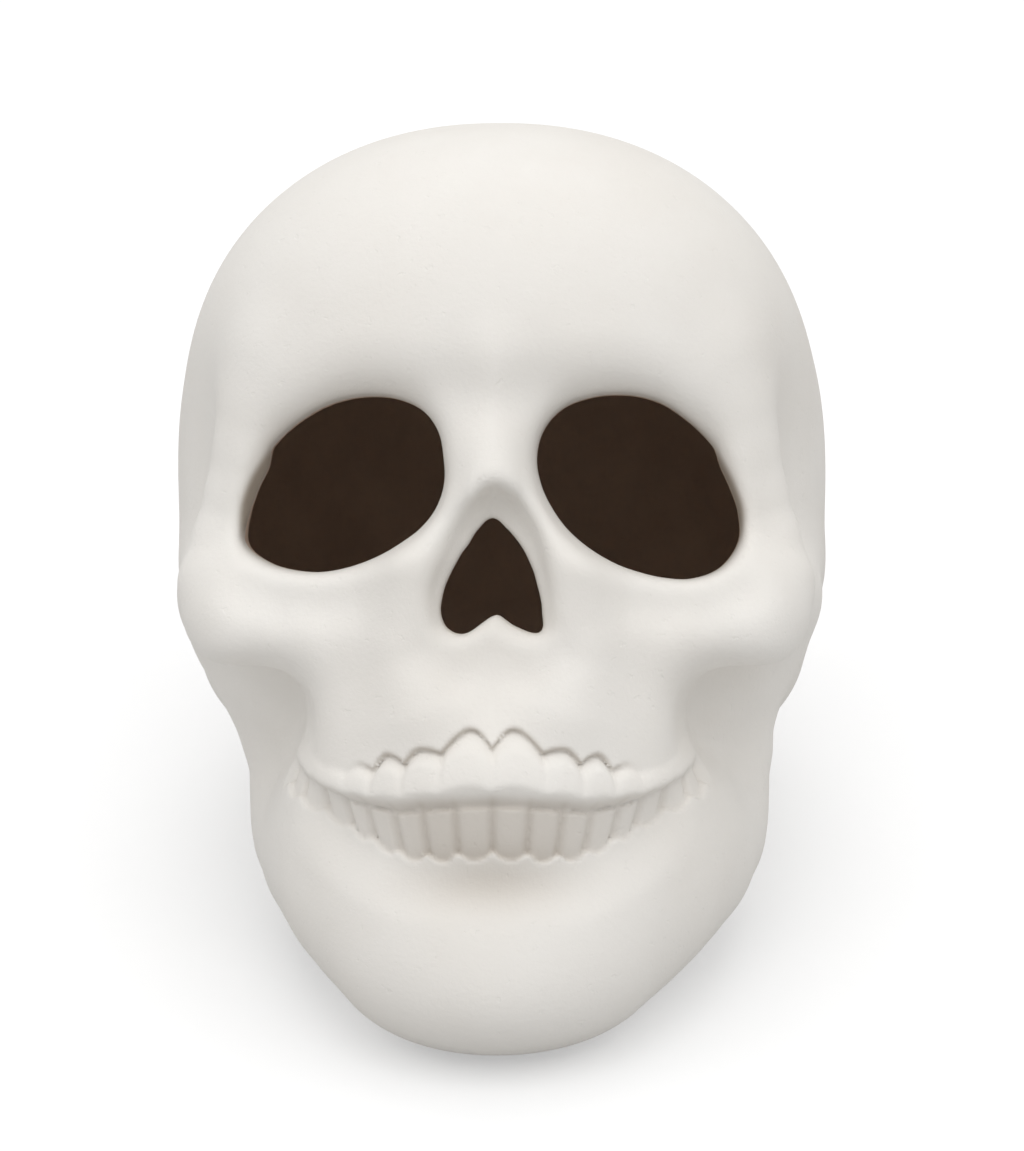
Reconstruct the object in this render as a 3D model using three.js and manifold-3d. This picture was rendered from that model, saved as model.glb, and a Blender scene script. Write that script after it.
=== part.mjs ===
// A life-size skull decoration: one hollow casting of unglazed white ceramic on four felt pads.
// The skull is modelled face on, looking along -Y with +Z up, and is then tipped back on its chin
// and the back of its head, as it stands on a shelf. Lengths are in millimetres, angles in degrees.
import * as THREE from 'three';
import { mergeVertices } from 'three/addons/utils/BufferGeometryUtils.js';
import Module from 'manifold-3d';

const wasm = await Module();
wasm.setup();

// Driving sizes of the casting
const SKULL_BREADTH = 151;
const SKULL_LENGTH = 182;
const SKULL_HEIGHT = 205;
const WALL = 5;
const EYE_OPENING_REACH = 19.8;
const NOSE_OPENING_REACH = 10.3;
const POUR_HOLE_DIAMETER = 44;
const POUR_HOLE_FORWARD = 22;
const REST_FLAT_DEPTH = 3.4;

// The tooth rows
const TOOTH_ARCH_REACH = 42;
const TOOTH_THICKNESS = 5.6;
const UPPER_TOOTH_OVERHANG = 1.6;
const LOWER_ARCH_FLARE = 5;
const TOOTH_OVERLAP = 0.3;
const TOOTH_SQUARENESS = 2.8;
const UPPER_LIP_DROP = 1.2;
const LOWER_ROOT_HIDDEN = 4;

// How softly neighbouring forms run together
const JAW_JOIN = 18;
const BROAD_JOIN = 13;
const SOFT_JOIN = 9;
const FIRM_JOIN = 6;
const LOW_RIM_JOIN = 7;
const HIGH_RIM_JOIN = 12;

// Hollows pressed into the clay
const TEMPLE_HOLLOW = 11;
const SIDE_HOLLOW = 3;
const CHEEK_HOLLOW = 6;
const CANINE_HOLLOW = 1.5;
const CHIN_HOLLOW = 1.6;
const SOCKET_DEPTH = 26;
const SOCKET_RIM = 2;
const SOCKET_TAPER_SHARE = 0.16;
const JAW_DRIFT = 2.2;

// The felt pads and the floor they stand on
const PAD_DIAMETER = 12;
const PAD_THICKNESS = 1.5;
const PAD_EDGE = 0.4;
const GLUE_GAP = 0.3;
const FRONT_PAD_SPREAD = 12;
const REAR_PAD_SPREAD = 16;

// Spacing of the grid that the clay is skinned on
const FACE_STEP = 5.6;
const SIDE_STEP = 7.2;
const VAULT_STEP = 11;
const HOLLOW_STEP = 12;
const GRID_MARGIN = 6;
const CUT_OVERRUN = 30;
const CORNER_SHIFT = 0.05;
const SETTLE_REACH = 0.05;
const SETTLE_LIMIT = 1.2;
const MERGE_REACH = 0.001;

const HALF_BREADTH = SKULL_BREADTH / 2;
const HALF_LENGTH = SKULL_LENGTH / 2;
const HALF_HEIGHT = SKULL_HEIGHT / 2;

// Places are shares of the half breadth, half length and half height, measured from the
// middle of the skull level with the lower edge of the eye openings.
function placeAt([acrossShare, backShare, upShare]) {
  return [acrossShare * HALF_BREADTH, backShare * HALF_LENGTH, upShare * HALF_HEIGHT];
}

// Clay forms: each returns a function that gives the distance to its surface, inside negative

function join(a, b, softness) {
  const nearness = Math.max(softness - Math.abs(a - b), 0) / softness;
  return Math.min(a, b) - (nearness * nearness * softness) / 4;
}

function press(a, b, softness) {
  return -join(-a, b, softness);
}

function lump(centreShares, reachShares, squareness) {
  const [cx, cy, cz] = placeAt(centreShares);
  const [rx, ry, rz] = placeAt(reachShares);
  const n = squareness;
  return (x, y, z) => {
    const u = Math.abs(x - cx) / rx;
    const v = Math.abs(y - cy) / ry;
    const w = Math.abs(z - cz) / rz;
    const size = Math.max(u ** n + v ** n + w ** n, Number.EPSILON) ** (1 / n);
    const fall = size ** (1 - n);
    const slope = Math.hypot(u ** (n - 1) / rx, v ** (n - 1) / ry, w ** (n - 1) / rz) * fall;
    return (size - 1) / Math.max(slope, 1 / HALF_HEIGHT);
  };
}

// A run of tapering rolls of clay from place to place, such as a ridge or an arch of bone.
function strand(runShares, thicknessShares, softness = FIRM_JOIN) {
  const places = runShares.map(placeAt);
  const radii = thicknessShares.map((share) => share * HALF_BREADTH);
  const rolls = places.slice(1).map(([x1, y1, z1], i) => {
    const [x0, y0, z0] = places[i];
    const run = [x1 - x0, y1 - y0, z1 - z0];
    const square = run[0] ** 2 + run[1] ** 2 + run[2] ** 2;
    return { x0, y0, z0, run, square, r0: radii[i], r1: radii[i + 1] };
  });
  return (x, y, z) => {
    let nearest = Infinity;
    for (const { x0, y0, z0, run, square, r0, r1 } of rolls) {
      const px = x - x0;
      const py = y - y0;
      const pz = z - z0;
      const along = Math.min(Math.max((px * run[0] + py * run[1] + pz * run[2]) / square, 0), 1);
      const off = Math.hypot(px - along * run[0], py - along * run[1], pz - along * run[2]);
      const d = off - r0 - along * (r1 - r0);
      nearest = nearest === Infinity ? d : join(nearest, d, softness);
    }
    return nearest;
  };
}

// A soft dent of depth one, faded over its spread.
function dent(centreShares, spreadShares) {
  const [cx, cy, cz] = placeAt(centreShares);
  const [sx, sy, sz] = placeAt(spreadShares);
  return (x, y, z) => Math.exp(-(((x - cx) / sx) ** 2 + ((y - cy) / sy) ** 2 + ((z - cz) / sz) ** 2));
}

// Goes from 0 to 1, slowly at both ends
function eased(t) {
  const within = Math.min(Math.max(t, 0), 1);
  return within * within * (3 - 2 * within);
}

// A closed outline seen from the front: its reach at even turns, counterclockwise from +X.
function outline(centreShares, reach, reachShares) {
  const [cx, , cz] = placeAt(centreShares);
  const count = reachShares.length;
  const reachAt = (turn) => {
    const spot = ((turn / (2 * Math.PI)) * count + count) % count;
    const i = Math.floor(spot) % count;
    const t = spot - Math.floor(spot);
    const [a, b, c, d] = [-1, 0, 1, 2].map((k) => reachShares[(i + k + count) % count]);
    const first = t * (c - a);
    const second = t ** 2 * (2 * a - 5 * b + 4 * c - d);
    const third = t ** 3 * (3 * b - a - 3 * c + d);
    return (reach * (2 * b + first + second + third)) / 2;
  };
  const distance = (x, z) => Math.hypot(x - cx, z - cz) - reachAt(Math.atan2(z - cz, x - cx));
  const upward = (x, z) => Math.sin(Math.atan2(z - cz, x - cx));
  return { cx, cz, reachAt, distance, upward };
}

const leftEyeShares = [1.05, 1.135, 1.07, 0.925, 0.86, 0.905, 1.07, 1.27, 1.06, 0.89, 0.84, 0.925];
const rightEyeShares = [1.035, 0.9, 0.885, 0.965, 1.09, 1.185, 1.045, 0.9, 0.855, 0.925, 1.145, 1.23];
const noseShares = [0.905, 0.875, 1.015, 1.33, 0.945, 0.845, 0.935, 1.195, 1.155, 0.645, 0.995, 1.165];

const leftEye = outline([-0.415, 0, 0.187], EYE_OPENING_REACH, leftEyeShares);
const rightEye = outline([0.404, 0, 0.185], EYE_OPENING_REACH, rightEyeShares);
const nose = outline([-0.004, 0, -0.018], NOSE_OPENING_REACH, noseShares);

// The braincase
const vault = lump([-0.002, 0.088, 0.193], [0.998, 0.989, 0.798], 2.25);
const forehead = lump([0, -0.32, 0.425], [0.845, 0.593, 0.513], 2.15);
const mastoid = strand([[0.758, 0.198, -0.017], [0.755, 0.154, -0.195]], [0.159, 0.106]);
const nape = lump([0, 0.495, -0.08], [0.795, 0.462, 0.39], 2);
const temple = dent([0.874, -0.484, 0.137], [0.2, 0.187, 0.244]);
const side = dent([0.954, -0.242, 0.098], [0.212, 0.242, 0.254]);

function braincase(x, y, z) {
  const dome = join(vault(x, y, z), forehead(x, y, z), BROAD_JOIN);
  const dented = dome + TEMPLE_HOLLOW * temple(x, y, z) + SIDE_HOLLOW * side(x, y, z);
  return join(join(dented, mastoid(x, y, z), BROAD_JOIN), nape(x, y, z), BROAD_JOIN);
}

// The upper face and cheekbones
const upperFace = lump([0, -0.418, 0.195], [0.768, 0.467, 0.429], 2.3);
const orbitSide = strand(
  [[0.69, -0.62, 0.371], [0.755, -0.61, 0.254], [0.795, -0.595, 0.117], [0.805, -0.59, 0]],
  [0.06, 0.062, 0.066, 0.072],
);
const archTop = strand(
  [
    [0.53, -0.764, -0.049], [0.662, -0.703, -0.039], [0.788, -0.593, -0.02], [0.833, -0.418, -0.012],
    [0.839, -0.242, -0.009], [0.834, -0.066, 0.012], [0.81, 0.11, 0.039],
  ],
  [0.058, 0.064, 0.066, 0.058, 0.056, 0.058, 0.066],
);
const archUnderside = strand(
  [
    [0.53, -0.703, -0.127], [0.662, -0.659, -0.127], [0.787, -0.549, -0.107], [0.827, -0.396, -0.08],
    [0.855, -0.242, -0.064],
  ],
  [0.066, 0.061, 0.058, 0.056, 0.056],
);

const cheekBody = lump([0.655, -0.69, -0.105], [0.165, 0.125, 0.098], 2.3);

function cheekbone(x, y, z) {
  const arch = join(archTop(x, y, z), archUnderside(x, y, z), SOFT_JOIN);
  const plate = join(arch, cheekBody(x, y, z), SOFT_JOIN);
  return join(plate, orbitSide(x, y, z), FIRM_JOIN);
}

// The middle of the face: upper jaw, the frame of the nose and the lower rim of the sockets
const upperJaw = lump([0, -0.549, -0.215], [0.47, 0.362, 0.3], 3);
const noseSide = strand(
  [
    [0.132, -0.846, 0.332], [0.166, -0.879, 0.156], [0.212, -0.89, 0.02], [0.238, -0.874, -0.137],
    [0.185, -0.885, -0.273],
  ],
  [0.056, 0.061, 0.064, 0.073, 0.093],
);
const lowerRim = strand(
  [[0.636, -0.681, -0.039], [0.503, -0.758, -0.054], [0.371, -0.824, -0.044], [0.238, -0.879, 0.02]],
  [0.061, 0.053, 0.053, 0.058],
);
const noseBridge = strand(
  [[0, -0.824, 0.41], [0, -0.868, 0.273], [0, -0.962, 0.137]],
  [0.093, 0.074, 0.069],
);
const cheekCrest = strand(
  [[0.583, -0.637, -0.117], [0.503, -0.615, -0.254], [0.477, -0.593, -0.371]],
  [0.079, 0.079, 0.093],
);
const underCheek = dent([0.6, -0.66, -0.29], [0.14, 0.2, 0.11]);
const besideNose = dent([0.358, -0.879, -0.137], [0.106, 0.154, 0.088]);
const overChin = dent([0, -0.97, -0.63], [0.2, 0.3, 0.055]);

function middleFace(x, y, z) {
  let d = join(noseSide(x, y, z), lowerRim(x, y, z), SOFT_JOIN);
  d = join(d, cheekCrest(x, y, z), BROAD_JOIN);
  return join(d, noseBridge(x, y, z), FIRM_JOIN);
}

// The lower jaw, which sits a little to one side behind the chin
const toothBlock = lump([0, -0.538, -0.41], [0.53, 0.442, 0.25], 2.1);
const jawFront = lump([0, -0.484, -0.639], [0.559, 0.47, 0.317], 2.1);
const jawBody = lump([0, -0.264, -0.5], [0.66, 0.571, 0.222], 2.4);
const chin = lump([0, -0.758, -0.828], [0.275, 0.2, 0.145], 2);
const jawBorder = strand(
  [[0.569, -0.2, -0.567], [0.543, -0.35, -0.628], [0.417, -0.549, -0.674], [0.246, -0.692, -0.758]],
  [0.123, 0.122, 0.133, 0.168],
);
const ramus = strand(
  [[0.587, -0.22, -0.55], [0.671, -0.176, -0.362], [0.716, -0.165, -0.24], [0.795, -0.154, -0.155]],
  [0.11, 0.106, 0.093, 0.093],
);
const throat = lump([0, -0.08, -0.74], [0.44, 0.44, 0.3], 2.2);
const [, driftFront, driftTop] = placeAt([0, -0.88, -0.14]);
const [, driftBack, driftFoot] = placeAt([0, -0.33, -0.42]);

function drift(y, z) {
  const behind = eased((y - driftFront) / (driftBack - driftFront));
  return JAW_DRIFT * behind * eased((z - driftTop) / (driftFoot - driftTop));
}

function lowerJaw(x, y, z) {
  const shifted = Math.abs(x - drift(y, z));
  let d = join(jawFront(shifted, y, z), chin(shifted, y, z), BROAD_JOIN);
  d = join(d, jawBorder(shifted, y, z), JAW_JOIN);
  d = join(d, jawBody(shifted, y, z), JAW_JOIN);
  d = join(d, ramus(shifted, y, z), BROAD_JOIN);
  return join(d, toothBlock(Math.abs(x), y, z), BROAD_JOIN);
}

// The sockets and the nose funnel, pressed in from the front and narrowing with depth
const socketMouth = placeAt([0, -0.9, 0])[1];
const funnelFloor = placeAt([0, -0.86, 0])[1];

function pit(opening, x, y, z, floor) {
  const width = opening.distance(x, z) - SOCKET_RIM + SOCKET_TAPER_SHARE * (y - socketMouth);
  return -join(-width, floor - y, FIRM_JOIN);
}

// The thick forms that the casting is hollow inside.
function core(x, y, z) {
  const ax = Math.abs(x);
  let d = join(braincase(ax, y, z), upperFace(ax, y, z), SOFT_JOIN);
  d = join(d, upperJaw(ax, y, z), SOFT_JOIN);
  return join(d, lowerJaw(x, y, z), FIRM_JOIN);
}

// Presses in the throat, the sockets and the nose funnel. The rim of a socket turns in firmly
// below and widely under the brow.
function pressed(d, x, y, z) {
  const eye = x < 0 ? leftEye : rightEye;
  const rimJoin = THREE.MathUtils.lerp(LOW_RIM_JOIN, HIGH_RIM_JOIN, eased(eye.upward(x, z)));
  const open = press(d, throat(x, y, z), BROAD_JOIN);
  const socketed = press(open, pit(eye, x, y, z, socketMouth + SOCKET_DEPTH), rimJoin);
  return press(socketed, pit(nose, x, y, z, funnelFloor), FIRM_JOIN);
}

// The whole skull, before the teeth are set in it.
function skull(x, y, z) {
  const ax = Math.abs(x);
  const faced = join(core(x, y, z), middleFace(ax, y, z), SOFT_JOIN);
  const boned = join(faced, cheekbone(ax, y, z), SOFT_JOIN);
  const cheekHollows = CHEEK_HOLLOW * underCheek(ax, y, z) + CANINE_HOLLOW * besideNose(ax, y, z);
  return pressed(boned + cheekHollows + CHIN_HOLLOW * overChin(ax, y, z), x, y, z);
}

const hollow = (x, y, z) => Math.max(pressed(core(x, y, z), x, y, z), skull(x, y, z)) + WALL;

// Grid lines from low to high, each a step on from the last, where the step depends on the place.
function gridLines(low, high, stepAt) {
  const lines = [low];
  while (lines.at(-1) < high) lines.push(lines.at(-1) + stepAt(lines.at(-1)));
  return lines;
}

function mirrored(lines) {
  return [...lines.slice(1).map((line) => -line).reverse(), ...lines];
}

// Where the inside corners of a grid face lie crosswise, two sheets of skin would meet in one
// edge. One corner of such a face changes sides, so that clay is added and never taken away.
function uncross(values, strides, sizes, clayInside) {
  let crossed = 1;
  while (crossed) {
    crossed = 0;
    for (const [s, t, r] of [[0, 1, 2], [1, 2, 0], [2, 0, 1]])
      for (let i = 0; i + 1 < sizes[s]; i += 1)
        for (let j = 0; j + 1 < sizes[t]; j += 1)
          for (let k = 0; k < sizes[r]; k += 1) {
            const a = i * strides[s] + j * strides[t] + k * strides[r];
            const face = [a, a + strides[s], a + strides[s] + strides[t], a + strides[t]];
            const [ia, ib, ic, id] = face.map((corner) => values[corner] < 0);
            if (ia !== ic || ib !== id || ia === ib) continue;
            const movable = face.filter((corner) => values[corner] < 0 !== clayInside);
            movable.sort((m, n) => Math.abs(values[m]) - Math.abs(values[n]));
            values[movable[0]] = clayInside ? -CORNER_SHIFT : CORNER_SHIFT;
            crossed += 1;
          }
  }
}

// Skins a clay form: one point in each grid cell that the surface passes through, moved onto
// the surface, and a quad round each grid edge that crosses it.
function skin(field, xs, ys, zs, clayInside) {
  const index = (i, j, k) => (i * ys.length + j) * zs.length + k;
  const values = new Float64Array(xs.length * ys.length * zs.length);
  xs.forEach((x, i) =>
    ys.forEach((y, j) =>
      zs.forEach((z, k) => {
        values[index(i, j, k)] = field(x, y, z);
      }),
    ),
  );
  const sizes = [xs.length, ys.length, zs.length];
  uncross(values, [ys.length * zs.length, zs.length, 1], sizes, clayInside);

  const corners = [0, 1, 2, 3, 4, 5, 6, 7].map((c) => [c & 1, (c >> 1) & 1, (c >> 2) & 1]);
  const edges = [];
  corners.forEach((a, from) =>
    corners.forEach((b, to) => {
      const apart = Math.abs(a[0] - b[0]) + Math.abs(a[1] - b[1]) + Math.abs(a[2] - b[2]);
      if (from < to && apart === 1) edges.push([from, to]);
    }),
  );

  const points = [];
  const pointOf = new Map();
  for (let i = 0; i + 1 < xs.length; i += 1)
    for (let j = 0; j + 1 < ys.length; j += 1)
      for (let k = 0; k + 1 < zs.length; k += 1) {
        const at = corners.map(([a, b, c]) => values[index(i + a, j + b, k + c)]);
        const crossed = edges.filter(([from, to]) => at[from] < 0 !== at[to] < 0);
        if (!crossed.length) continue;
        const sum = new THREE.Vector3();
        for (const [from, to] of crossed) {
          const t = at[from] / (at[from] - at[to]);
          const [a, b] = [corners[from], corners[to]].map(
            ([ci, cj, ck]) => new THREE.Vector3(xs[i + ci], ys[j + cj], zs[k + ck]),
          );
          sum.add(a.lerp(b, t));
        }
        pointOf.set(index(i, j, k), points.length);
        points.push(settle(field, sum.divideScalar(crossed.length)));
      }

  const triangles = [];
  const ring = (cells, inward) => {
    const turned = inward ? cells : cells.reverse();
    const [a, b, c, d] = turned.map(([i, j, k]) => pointOf.get(index(i, j, k)));
    const acrossAC = points[a].distanceTo(points[c]) <= points[b].distanceTo(points[d]);
    triangles.push(...(acrossAC ? [a, b, c, a, c, d] : [a, b, d, b, c, d]));
  };
  for (let i = 0; i + 1 < xs.length; i += 1)
    for (let j = 0; j + 1 < ys.length; j += 1)
      for (let k = 0; k + 1 < zs.length; k += 1) {
        const here = values[index(i, j, k)] < 0;
        if (j && k && here !== values[index(i + 1, j, k)] < 0)
          ring([[i, j - 1, k - 1], [i, j, k - 1], [i, j, k], [i, j - 1, k]], here);
        if (i && k && here !== values[index(i, j + 1, k)] < 0)
          ring([[i - 1, j, k - 1], [i - 1, j, k], [i, j, k], [i, j, k - 1]], here);
        if (i && j && here !== values[index(i, j, k + 1)] < 0)
          ring([[i - 1, j - 1, k], [i, j - 1, k], [i, j, k], [i - 1, j, k]], here);
      }
  const geometry = new THREE.BufferGeometry().setFromPoints(points);
  return geometry.setIndex(triangles);
}

// Moves a point onto the surface of a clay form, along its slope.
function settle(field, point) {
  for (let pass = 0; pass < 2; pass += 1) {
    const { x, y, z } = point;
    const slope = new THREE.Vector3(
      field(x + SETTLE_REACH, y, z) - field(x - SETTLE_REACH, y, z),
      field(x, y + SETTLE_REACH, z) - field(x, y - SETTLE_REACH, z),
      field(x, y, z + SETTLE_REACH) - field(x, y, z - SETTLE_REACH),
    ).divideScalar(2 * SETTLE_REACH);
    const move = slope.multiplyScalar(-field(x, y, z) / Math.max(slope.lengthSq(), 1));
    point.add(move.clampLength(0, SETTLE_LIMIT));
  }
  return point;
}

// Solids, and the geometry that they come from and go back to
function solidOf(geometry) {
  const bare = new THREE.BufferGeometry().setAttribute('position', geometry.getAttribute('position'));
  bare.setIndex(geometry.index);
  const merged = mergeVertices(bare, MERGE_REACH);
  const mesh = new wasm.Mesh({
    numProp: 3,
    vertProperties: new Float32Array(merged.attributes.position.array),
    triVerts: new Uint32Array(merged.index.array),
  });
  return new wasm.Manifold(mesh);
}

function geometryOf(solid) {
  const { vertProperties, triVerts } = solid.getMesh();
  const geometry = new THREE.BufferGeometry();
  geometry.setAttribute('position', new THREE.BufferAttribute(vertProperties, 3));
  geometry.setIndex(new THREE.BufferAttribute(triVerts, 1));
  geometry.computeVertexNormals();
  return geometry;
}

// The teeth: rounded blocks set side by side on a round arch, rising toward the back
const archMiddle = placeAt([0, -0.538, 0])[1];
const upperEdges = [0, 15, 26, 36, 45, 54, 63, 72, 81];
const lowerEdges = [0, 11.5, 21.7, 31, 40.5, 49, 58.5, 69, 79];
const rowTurns = [0, 20, 30, 45, 60, 80];
const gumShares = [-0.302, -0.341, -0.361, -0.388, -0.361, -0.322];
const biteShares = [-0.463, -0.471, -0.478, -0.459, -0.429, -0.395];
const rootShares = [-0.569, -0.576, -0.573, -0.532, -0.486, -0.442];

function rowHeight(heightShares, turn) {
  const i = Math.max(rowTurns.findIndex((edge) => edge >= turn), 1);
  const t = (turn - rowTurns[i - 1]) / (rowTurns[i] - rowTurns[i - 1]);
  return THREE.MathUtils.lerp(heightShares[i - 1], heightShares[i], t) * HALF_HEIGHT;
}

function tooth(turn, halfWidth, reach, low, high) {
  const block = new THREE.SphereGeometry(1, 8, 6).rotateX(Math.PI / 2);
  block.deleteAttribute('normal');
  block.deleteAttribute('uv');
  const places = block.attributes.position;
  const square = (v) => Math.sign(v) * Math.abs(v) ** (2 / TOOTH_SQUARENESS);
  for (let i = 0; i < places.count; i += 1)
    places.setXYZ(i, square(places.getX(i)), square(places.getY(i)), square(places.getZ(i)));
  block.scale(halfWidth, TOOTH_THICKNESS, (high - low) / 2);
  block.translate(0, -reach + TOOTH_THICKNESS, (high + low) / 2);
  return block.rotateZ(THREE.MathUtils.degToRad(turn)).translate(0, archMiddle, 0);
}

function toothRow(edges, reachAt, lowAt, highAt) {
  return edges.slice(1).flatMap((edge, i) => {
    const turn = (edge + edges[i]) / 2;
    const reach = reachAt(turn);
    const halfWidth = (THREE.MathUtils.degToRad(edge - edges[i]) / 2) * reach + TOOTH_OVERLAP;
    return [turn, -turn].map((t) => tooth(t, halfWidth, reach, lowAt(turn), highAt(turn)));
  });
}

function teeth() {
  const bite = (turn) => rowHeight(biteShares, turn);
  const flare = (turn) => LOWER_ARCH_FLARE * (turn / lowerEdges.at(-1)) ** 2;
  const upper = toothRow(
    upperEdges,
    () => TOOTH_ARCH_REACH + UPPER_TOOTH_OVERHANG,
    (turn) => bite(turn) - UPPER_LIP_DROP,
    (turn) => rowHeight(gumShares, turn),
  );
  const lower = toothRow(
    lowerEdges,
    (turn) => TOOTH_ARCH_REACH + flare(turn),
    (turn) => rowHeight(rootShares, turn),
    (turn) => bite(turn) + LOWER_ROOT_HIDDEN,
  );
  return [...upper, ...lower];
}

// The standing pose: tipped back until the chin and the back of the head are level
function lowest(geometry, tilt, isThere) {
  const places = geometry.attributes.position;
  let low = Infinity;
  for (let i = 0; i < places.count; i += 1)
    if (isThere(places.getY(i))) {
      const height = places.getZ(i) * Math.cos(tilt) - places.getY(i) * Math.sin(tilt);
      low = Math.min(low, height);
    }
  return low;
}

function restTilt(geometry) {
  let [low, high] = [0, Math.PI / 4];
  for (let pass = 0; pass < 30; pass += 1) {
    const tilt = (low + high) / 2;
    const chinHeight = lowest(geometry, tilt, (y) => y < -HALF_LENGTH / 2);
    const backHeight = lowest(geometry, tilt, (y) => y > HALF_LENGTH / 3);
    if (chinHeight < backHeight) low = tilt;
    else high = tilt;
  }
  return (low + high) / 2;
}

// The middle of the tipped skull from front to back
function middleBack(geometry, tilt) {
  const places = geometry.attributes.position;
  const reaches = Array.from({ length: places.count }, (_, i) =>
    places.getY(i) * Math.cos(tilt) + places.getZ(i) * Math.sin(tilt),
  );
  return (Math.min(...reaches) + Math.max(...reaches)) / 2;
}

// A cutter through the front wall, with the outline of an opening
function prism(opening, depth) {
  const turns = Array.from({ length: 36 }, (_, i) => (i * 2 * Math.PI) / 36);
  const edge = turns.map(
    (turn) =>
      new THREE.Vector2(
        opening.cx + opening.reachAt(turn) * Math.cos(turn),
        opening.cz + opening.reachAt(turn) * Math.sin(turn),
      ),
  );
  const cutter = new THREE.ExtrudeGeometry(new THREE.Shape(edge), { depth, bevelEnabled: false });
  return cutter.rotateX(Math.PI / 2).translate(0, -HALF_LENGTH - CUT_OVERRUN + depth, 0);
}

// The casting in its standing pose
function frontSteps(v) {
  return Math.abs(v) < HALF_BREADTH / 2 ? FACE_STEP : SIDE_STEP;
}

function backSteps(v) {
  return v < -HALF_LENGTH / 2 ? FACE_STEP : VAULT_STEP;
}

function upSteps(v) {
  return v < HALF_HEIGHT / 2 ? FACE_STEP : VAULT_STEP;
}

const across = mirrored(gridLines(0, HALF_BREADTH + GRID_MARGIN, frontSteps));
const back = gridLines(-HALF_LENGTH - 2 * GRID_MARGIN, HALF_LENGTH + 2 * GRID_MARGIN, backSteps);
const up = gridLines(-HALF_HEIGHT - GRID_MARGIN, HALF_HEIGHT + 2 * GRID_MARGIN, upSteps);
const evenly = () => HOLLOW_STEP;
const hollowAcross = mirrored(gridLines(0, HALF_BREADTH + GRID_MARGIN, evenly));
const hollowBack = gridLines(-HALF_LENGTH - GRID_MARGIN, HALF_LENGTH + GRID_MARGIN, evenly);
const hollowUp = gridLines(-HALF_HEIGHT - GRID_MARGIN, HALF_HEIGHT + GRID_MARGIN, evenly);

const outside = skin(skull, across, back, up, true);
const inside = skin(hollow, hollowAcross, hollowBack, hollowUp, false);
const tilt = restTilt(outside);
const floor = lowest(outside, tilt, () => true) + REST_FLAT_DEPTH;
const middle = middleBack(outside, tilt);
const flatHeight = PAD_THICKNESS + GLUE_GAP;

function stood(geometry) {
  return geometry.rotateX(-tilt).translate(0, -middle, flatHeight - floor);
}

function joined(geometries) {
  return wasm.Manifold.union(geometries.map((geometry) => solidOf(stood(geometry))));
}

function floorBlock() {
  const width = SKULL_BREADTH + 2 * CUT_OVERRUN;
  const length = SKULL_LENGTH + SKULL_HEIGHT;
  const block = new THREE.BoxGeometry(width, length, HALF_HEIGHT);
  return block.translate(0, 0, flatHeight - HALF_HEIGHT / 2);
}

// The pour hole, straight up through the roof of the throat into the hollow
function pourHole() {
  const depth = HALF_HEIGHT / 2;
  const cutter = new THREE.CylinderGeometry(POUR_HOLE_DIAMETER / 2, POUR_HOLE_DIAMETER / 2, depth, 40);
  return cutter.rotateX(Math.PI / 2).translate(0, -POUR_HOLE_FORWARD, flatHeight + depth / 2);
}

const openings = [leftEye, rightEye].map((eye) => prism(eye, HALF_LENGTH + CUT_OVERRUN - WALL));
openings.push(prism(nose, HALF_LENGTH / 2 + CUT_OVERRUN));
const casting = joined([outside, ...teeth()])
  .subtract(joined([inside]))
  .subtract(joined(openings))
  .subtract(solidOf(pourHole()))
  .subtract(solidOf(floorBlock()));

// The pads under the flats
function padGeometry() {
  const radius = PAD_DIAMETER / 2;
  const profile = [
    [0, 0], [radius - PAD_EDGE, 0], [radius, PAD_EDGE], [radius, PAD_THICKNESS - PAD_EDGE],
    [radius - PAD_EDGE, PAD_THICKNESS], [0, PAD_THICKNESS],
  ].map(([reach, height]) => new THREE.Vector2(reach, height));
  return new THREE.LatheGeometry(profile, 28).rotateX(Math.PI / 2);
}

// The middle of a flat along Y, on the line that its pads lie on.
function flatMiddle(geometry, isThere) {
  const places = geometry.attributes.position;
  let [near, far] = [Infinity, -Infinity];
  for (let i = 0; i < places.count; i += 1)
    if (Math.abs(places.getZ(i) - flatHeight) < MERGE_REACH && isThere(places.getY(i))) {
      near = Math.min(near, places.getY(i));
      far = Math.max(far, places.getY(i));
    }
  return (near + far) / 2;
}

const bisque = new THREE.MeshStandardMaterial({ color: 0xefeae4, roughness: 0.85, metalness: 0 });

const group = new THREE.Group();
const shell = new THREE.Mesh(geometryOf(casting), bisque);
shell.name = 'skull_shell';
group.add(shell);

const frontMiddle = flatMiddle(shell.geometry, (y) => y < -HALF_LENGTH / 2);
const rearMiddle = flatMiddle(shell.geometry, (y) => y > 0);

function addPad(name, x, y) {
  const felt = new THREE.MeshStandardMaterial({ color: 0xd8d4cc, roughness: 1, metalness: 0 });
  const pad = new THREE.Mesh(padGeometry(), felt);
  pad.name = name;
  pad.position.set(x, y, 0);
  group.add(pad);
}

addPad('felt_pad_front_left', -FRONT_PAD_SPREAD, frontMiddle);
addPad('felt_pad_front_right', FRONT_PAD_SPREAD, frontMiddle);
addPad('felt_pad_rear_left', -REAR_PAD_SPREAD, rearMiddle);
addPad('felt_pad_rear_right', REAR_PAD_SPREAD, rearMiddle);

export default group;
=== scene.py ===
"""A life-size skull decoration in unglazed white ceramic, cast hollow, on four felt pads.

The skull is modelled face on, looking along -Y with +Z up, as one clay form whose surface is where
a distance function is zero. The form is skinned into a mesh, and the mesh is tipped back on its
chin and the back of its head, where the frame's casting stands. Lengths are in metres.
"""
import math

import bpy
import numpy as np
from mathutils import Matrix, Vector


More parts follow.
